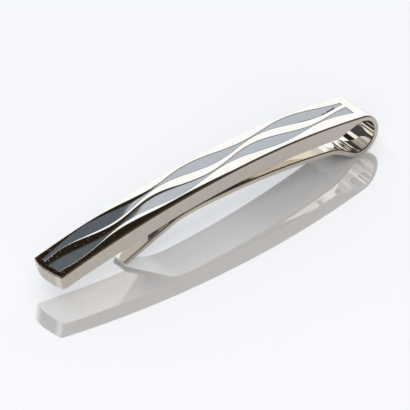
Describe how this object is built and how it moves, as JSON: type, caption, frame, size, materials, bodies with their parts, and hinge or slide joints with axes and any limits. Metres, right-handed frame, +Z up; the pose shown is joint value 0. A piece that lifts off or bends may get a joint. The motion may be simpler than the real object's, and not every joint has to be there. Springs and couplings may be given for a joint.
{
  "type": "tie clip",
  "caption": "Slide-on tie clip: a polished arched bar with grey wave bands, a hairpin spring bend and a back leaf that flares to a tongue.",
  "frame": {"origin": "middle of the clip's length and width, on the surface that it lies on when the decorated face is up", "axes": "+X along the clip toward the hairpin bend, +Y across its width, +Z up out of the decorated face"},
  "size_m": [0.057, 0.006, 0.0085],
  "materials": {
    "polished_metal": "mirror polish",
    "grey_band": "grey gloss"
  },
  "bodies": {
    "leaf": {"back_leaf": "polished_metal", "spring_bend": "polished_metal"},
    "front": {"front_bar": "polished_metal", "upper_wave_inlay": "grey_band", "lower_wave_inlay": "grey_band"}
  },
  "joints": [
    {"name": "front_flex", "type": "hinge", "parent": "leaf", "child": "front", "pos_m": [0.02525, 0, 0.00325], "axis": [0, 1, 0], "range_deg": [0, 6], "stiffness_Nm_per_rad": 1.2, "springref_deg": -1.15, "deforming": ["spring_bend"]}
  ]
}
